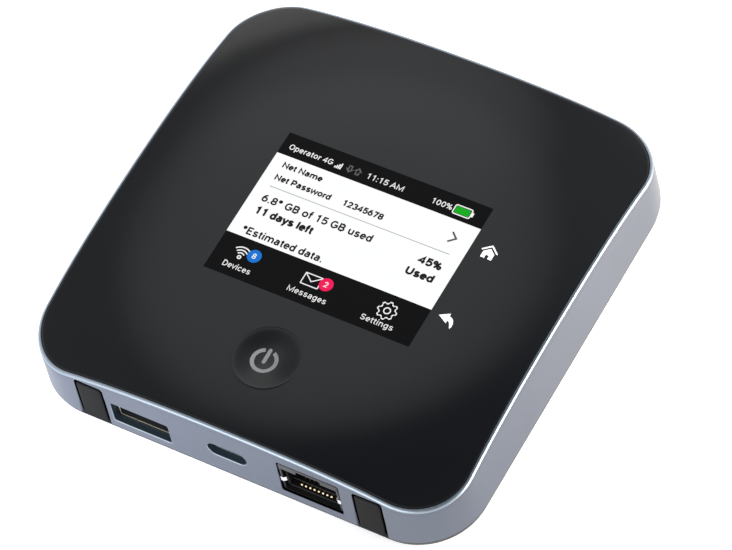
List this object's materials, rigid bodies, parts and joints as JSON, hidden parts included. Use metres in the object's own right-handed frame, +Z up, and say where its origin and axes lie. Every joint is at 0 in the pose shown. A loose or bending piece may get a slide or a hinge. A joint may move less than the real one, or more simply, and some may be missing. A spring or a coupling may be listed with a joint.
{
  "type": "mobile hotspot",
  "caption": "Square pocket router with a colour display, dished power button, wired data ports, covered antenna sockets and a battery under a clip-on back cover.",
  "frame": {"origin": "centre of the underside, on the surface that the object lies on", "axes": "+Z up through the display, -Y towards the wall with the ports, +X to the right as the display reads"},
  "size_m": [0.1054, 0.1054, 0.0203],
  "materials": {
    "painted_housing": "satin metallic paint over moulded plastic",
    "gloss_black": "polished black",
    "display_glass": "clear, polished",
    "white_print": "matt white",
    "grey_print": "matt grey",
    "rubber": "fine matt",
    "dark_plastic": "fine spark texture",
    "black_plastic": "moulded",
    "steel": "drawn sheet",
    "spring_steel": "rolled strip",
    "gold_plate": "gold plated",
    "circuit_board": "green solder mask",
    "tin_plate": "tinned sheet",
    "graphite": "rolled graphite sheet",
    "silicone": "soft pad",
    "foam": "closed-cell foam",
    "polyimide": "amber film",
    "battery_wrap": "matt sleeve",
    "card_plastic": "smooth"
  },
  "bodies": {
    "housing": {"side_housing": "painted_housing", "front_panel": "gloss_black", "display_window": "display_glass", "lcd_panel": "display_glass", "home_key": "white_print", "back_key": "white_print", "power_led": "white_print", "lcd_backlight": "white_print", "mid_frame": "dark_plastic", "network_jack_body": "black_plastic", "usb_a_tongue": "black_plastic", "usb_c_tongue": "black_plastic", "battery_contact_block": "black_plastic", "lcd_frame": "steel", "power_switch": "steel", "network_jack_shell": "steel", "usb_a_shell": "steel", "usb_c_shell": "steel", "sim_holder": "steel", "frame_screw_1": "steel", "frame_screw_2": "steel", "frame_screw_3": "steel", "frame_screw_4": "steel", "network_jack_contact_1": "gold_plate", "network_jack_contact_2": "gold_plate", "network_jack_contact_3": "gold_plate", "network_jack_contact_4": "gold_plate", "network_jack_contact_5": "gold_plate", "network_jack_contact_6": "gold_plate", "network_jack_contact_7": "gold_plate", "network_jack_contact_8": "gold_plate", "antenna_socket_left": "gold_plate", "antenna_socket_right": "gold_plate", "antenna_pin_left": "gold_plate", "antenna_pin_right": "gold_plate", "main_board": "circuit_board", "modem_shield": "tin_plate", "radio_shield": "tin_plate", "supply_shield": "tin_plate", "heat_spreader": "graphite", "thermal_pad": "silicone", "button_spring": "spring_steel", "display_gasket": "foam", "lcd_flex": "polyimide", "touch_sensor": "polyimide", "cellular_antenna_rear": "polyimide", "cellular_antenna_left": "polyimide", "local_antenna_right_front": "polyimide", "local_antenna_right_rear": "polyimide"},
    "power_button": {"power_button": "gloss_black", "power_symbol": "grey_print"},
    "antenna_flap_left": {"antenna_flap_left": "rubber"},
    "antenna_flap_right": {"antenna_flap_right": "rubber"},
    "battery": {"battery_pack": "battery_wrap", "battery_terminals": "gold_plate"},
    "back_cover": {"back_cover": "dark_plastic"},
    "sim_card": {"sim_card": "card_plastic"}
  },
  "joints": [
    {"name": "power_button_press", "type": "slide", "parent": "housing", "child": "power_button", "axis": [0, 0, 1], "range_m": [-0.0004, 0], "stiffness_N_per_m": 600, "springref_m": 0.001},
    {"name": "antenna_flap_left_hinge", "type": "hinge", "parent": "housing", "child": "antenna_flap_left", "pos_m": [-0.0334, -0.0521, 0.00385], "axis": [1, 0, 0], "range_deg": [0, 95]},
    {"name": "antenna_flap_right_hinge", "type": "hinge", "parent": "housing", "child": "antenna_flap_right", "pos_m": [0.0342, -0.0521, 0.00385], "axis": [1, 0, 0], "range_deg": [0, 95]},
    {"name": "battery_slide", "type": "slide", "parent": "housing", "child": "battery", "axis": [0, 0, 1], "range_m": [-0.014, 0]},
    {"name": "back_cover_slide", "type": "slide", "parent": "battery", "child": "back_cover", "axis": [0, 0, 1], "range_m": [-0.03, 0]},
    {"name": "sim_card_slide", "type": "slide", "parent": "housing", "child": "sim_card", "axis": [0, 1, 0], "range_m": [-0.012, 0]}
  ]
}
